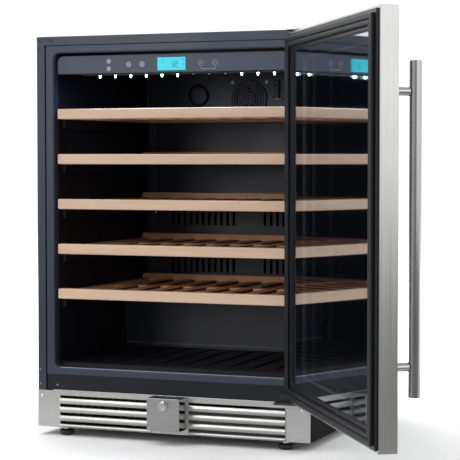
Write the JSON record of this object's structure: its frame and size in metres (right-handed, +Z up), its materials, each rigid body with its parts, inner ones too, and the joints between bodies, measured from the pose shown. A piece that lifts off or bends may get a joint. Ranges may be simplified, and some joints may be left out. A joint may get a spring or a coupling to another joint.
{
  "type": "wine cooler",
  "caption": "Undercounter wine cooler with an open glass door in a stainless frame, beech shelves, control panel, louvred kickplate and lock.",
  "frame": {"origin": "bottom centre of the box around the whole cooler with its door open 123 degrees, on the floor", "axes": "+X to the right as a person faces the cooler, +Y from the front of the cabinet to its back, +Z up"},
  "size_m": [0.9346, 1.0568, 0.82],
  "materials": {
    "aluminium": "mill finish",
    "beech": "pale beech, clear oiled",
    "display": "lit cyan display behind a gloss window",
    "foam": "poured polyurethane foam",
    "foot_rubber": "black, moulded",
    "gasket_rubber": "slate grey door gasket",
    "key_grey": "light grey",
    "moulded_black": "black moulded plastic, fine satin",
    "panel_grey": "dark slate grey satin moulding",
    "satin_black": "satin black slate powder coat",
    "stainless": "brushed stainless steel, vertical grain on the door",
    "tinted_glass": "dark tinted, polished"
  },
  "bodies": {
    "cabinet": {"air_duct_cover": "moulded_black", "base_pan": "satin_black", "charcoal_filter": "moulded_black", "compressor": "satin_black", "condenser": "aluminium", "control_panel": "panel_grey", "cord_gland": "foot_rubber", "display_window": "display", "drip_tray": "moulded_black", "evaporator": "aluminium", "fan_grille": "moulded_black", "fan_housing": "moulded_black", "foam_insulation": "foam", "front_sill": "satin_black", "hinge_bracket_lower": "satin_black", "hinge_bracket_upper": "satin_black", "kickplate": "stainless", "led_strip": "aluminium", "liner_ceiling": "moulded_black", "liner_flange": "moulded_black", "liner_floor": "moulded_black", "liner_left": "moulded_black", "liner_right": "moulded_black", "lock_box": "stainless", "machine_cover": "satin_black", "rear_panel": "satin_black", "side_panel_left": "satin_black", "side_panel_right": "satin_black", "temperature_sensor": "key_grey", "top_panel": "satin_black"},
    "door": {"door_frame": "stainless", "door_liner": "moulded_black", "door_gasket": "gasket_rubber", "glass_outer": "tinted_glass", "glass_inner": "tinted_glass", "glass_spacer": "aluminium", "handle_bar": "stainless", "handle_post_lower": "stainless", "handle_post_upper": "stainless"},
    "shelf_1": {"shelf_1_front": "beech", "shelf_1_rack": "beech"},
    "shelf_2": {"shelf_2_front": "beech", "shelf_2_rack": "beech"},
    "shelf_3": {"shelf_3_front": "beech", "shelf_3_rack": "beech"},
    "shelf_4": {"shelf_4_front": "beech", "shelf_4_rack": "beech"},
    "shelf_5": {"shelf_5_front": "beech", "shelf_5_rack": "beech"},
    "key_power": {"key_power": "key_grey"},
    "key_light": {"key_light": "key_grey"},
    "key_plus": {"key_plus": "key_grey"},
    "key_minus": {"key_minus": "key_grey"},
    "lock_cylinder": {"lock_cylinder": "stainless"},
    "circulation_fan": {"circulation_fan": "moulded_black"},
    "condenser_fan": {"condenser_fan": "moulded_black"},
    "foot_front_left": {"foot_front_left": "foot_rubber"},
    "foot_front_right": {"foot_front_right": "foot_rubber"},
    "foot_rear_left": {"foot_rear_left": "foot_rubber"},
    "foot_rear_right": {"foot_rear_right": "foot_rubber"}
  },
  "joints": [
    {"name": "door_swing", "type": "hinge", "parent": "cabinet", "child": "door", "pos_m": [0.11369, -0.03351, 0.457], "axis": [0, 0, 1], "range_deg": [-123.3, 0]},
    {"name": "shelf_1_slide", "type": "slide", "parent": "cabinet", "child": "shelf_1", "axis": [0, -1, 0], "range_m": [0, 0.3]},
    {"name": "shelf_2_slide", "type": "slide", "parent": "cabinet", "child": "shelf_2", "axis": [0, -1, 0], "range_m": [0, 0.3]},
    {"name": "shelf_3_slide", "type": "slide", "parent": "cabinet", "child": "shelf_3", "axis": [0, -1, 0], "range_m": [0, 0.3]},
    {"name": "shelf_4_slide", "type": "slide", "parent": "cabinet", "child": "shelf_4", "axis": [0, -1, 0], "range_m": [0, 0.3]},
    {"name": "shelf_5_slide", "type": "slide", "parent": "cabinet", "child": "shelf_5", "axis": [0, -1, 0], "range_m": [0, 0.3]},
    {"name": "key_power_press", "type": "slide", "parent": "cabinet", "child": "key_power", "axis": [0, 1, 0], "range_m": [0, 0.001], "stiffness_N_per_m": 400},
    {"name": "key_light_press", "type": "slide", "parent": "cabinet", "child": "key_light", "axis": [0, 1, 0], "range_m": [0, 0.001], "stiffness_N_per_m": 400},
    {"name": "key_plus_press", "type": "slide", "parent": "cabinet", "child": "key_plus", "axis": [0, 1, 0], "range_m": [0, 0.001], "stiffness_N_per_m": 400},
    {"name": "key_minus_press", "type": "slide", "parent": "cabinet", "child": "key_minus", "axis": [0, 1, 0], "range_m": [0, 0.001], "stiffness_N_per_m": 400},
    {"name": "lock_turn", "type": "hinge", "parent": "cabinet", "child": "lock_cylinder", "pos_m": [-0.16831, -0.04311, 0.0787], "axis": [0, -1, 0], "range_deg": [0, 90]},
    {"name": "circulation_fan_spin", "type": "hinge", "parent": "cabinet", "child": "circulation_fan", "pos_m": [-0.16981, 0.44539, 0.7045], "axis": [0, 1, 0], "continuous": true},
    {"name": "condenser_fan_spin", "type": "hinge", "parent": "cabinet", "child": "condenser_fan", "pos_m": [-0.32381, 0.07339, 0.0528], "axis": [0, 1, 0], "continuous": true},
    {"name": "foot_front_left_turn", "type": "hinge", "parent": "cabinet", "child": "foot_front_left", "pos_m": [-0.41031, 0.01539, 0], "axis": [0, 0, 1], "continuous": true},
    {"name": "foot_front_right_turn", "type": "hinge", "parent": "cabinet", "child": "foot_front_right", "pos_m": [0.07069, 0.01539, 0], "axis": [0, 0, 1], "continuous": true},
    {"name": "foot_rear_left_turn", "type": "hinge", "parent": "cabinet", "child": "foot_rear_left", "pos_m": [-0.41031, 0.49039, 0], "axis": [0, 0, 1], "continuous": true},
    {"name": "foot_rear_right_turn", "type": "hinge", "parent": "cabinet", "child": "foot_rear_right", "pos_m": [0.07069, 0.49039, 0], "axis": [0, 0, 1], "continuous": true}
  ]
}
